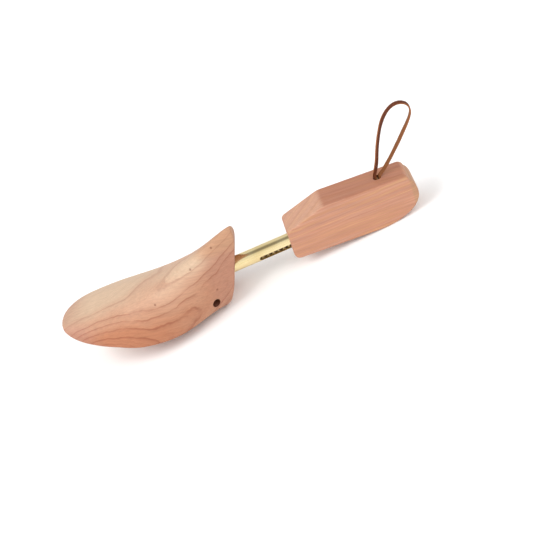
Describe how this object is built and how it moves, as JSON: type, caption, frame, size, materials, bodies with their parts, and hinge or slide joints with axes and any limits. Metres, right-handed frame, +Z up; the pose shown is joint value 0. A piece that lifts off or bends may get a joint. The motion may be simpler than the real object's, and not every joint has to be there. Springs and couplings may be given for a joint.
{
  "type": "shoe tree",
  "caption": "Cedar shoe tree for a right shoe: full toe block and heel block on a sprung, slotted brass tube, with a leather pull loop.",
  "frame": {"origin": "on the table under the middle of the tree's bounding box, taken without the leather loop", "axes": "+X from the heel block towards the toe, +Y towards the inner side of the foot, +Z up; the tree lies on the flat of its sole and on the round end of the heel block's bottom"},
  "size_m": [0.3326, 0.085, 0.0984],
  "materials": {
    "cedar": "sanded, unvarnished aromatic cedar",
    "hardwood": "plain turned or split wood",
    "brass": "polished",
    "spring_steel": "drawn wire",
    "steel": "plain zinc-plated",
    "leather": "vegetable-tanned lace with raw edges"
  },
  "bodies": {
    "toe_assembly": {"toe_block": "cedar", "toe_screw": "steel", "tube": "brass", "spring_plug": "hardwood", "spring": "spring_steel"},
    "heel_assembly": {"heel_block": "cedar", "cross_pin": "steel", "spring_seat": "brass", "leather_loop": "leather", "loop_peg": "hardwood"}
  },
  "joints": [
    {"name": "heel_slide", "type": "slide", "parent": "toe_assembly", "child": "heel_assembly", "axis": [0.9968, 0, 0.0802], "range_m": [0, 0.038], "stiffness_N_per_m": 1200, "springref_m": -0.015, "deforming": ["spring"]}
  ]
}
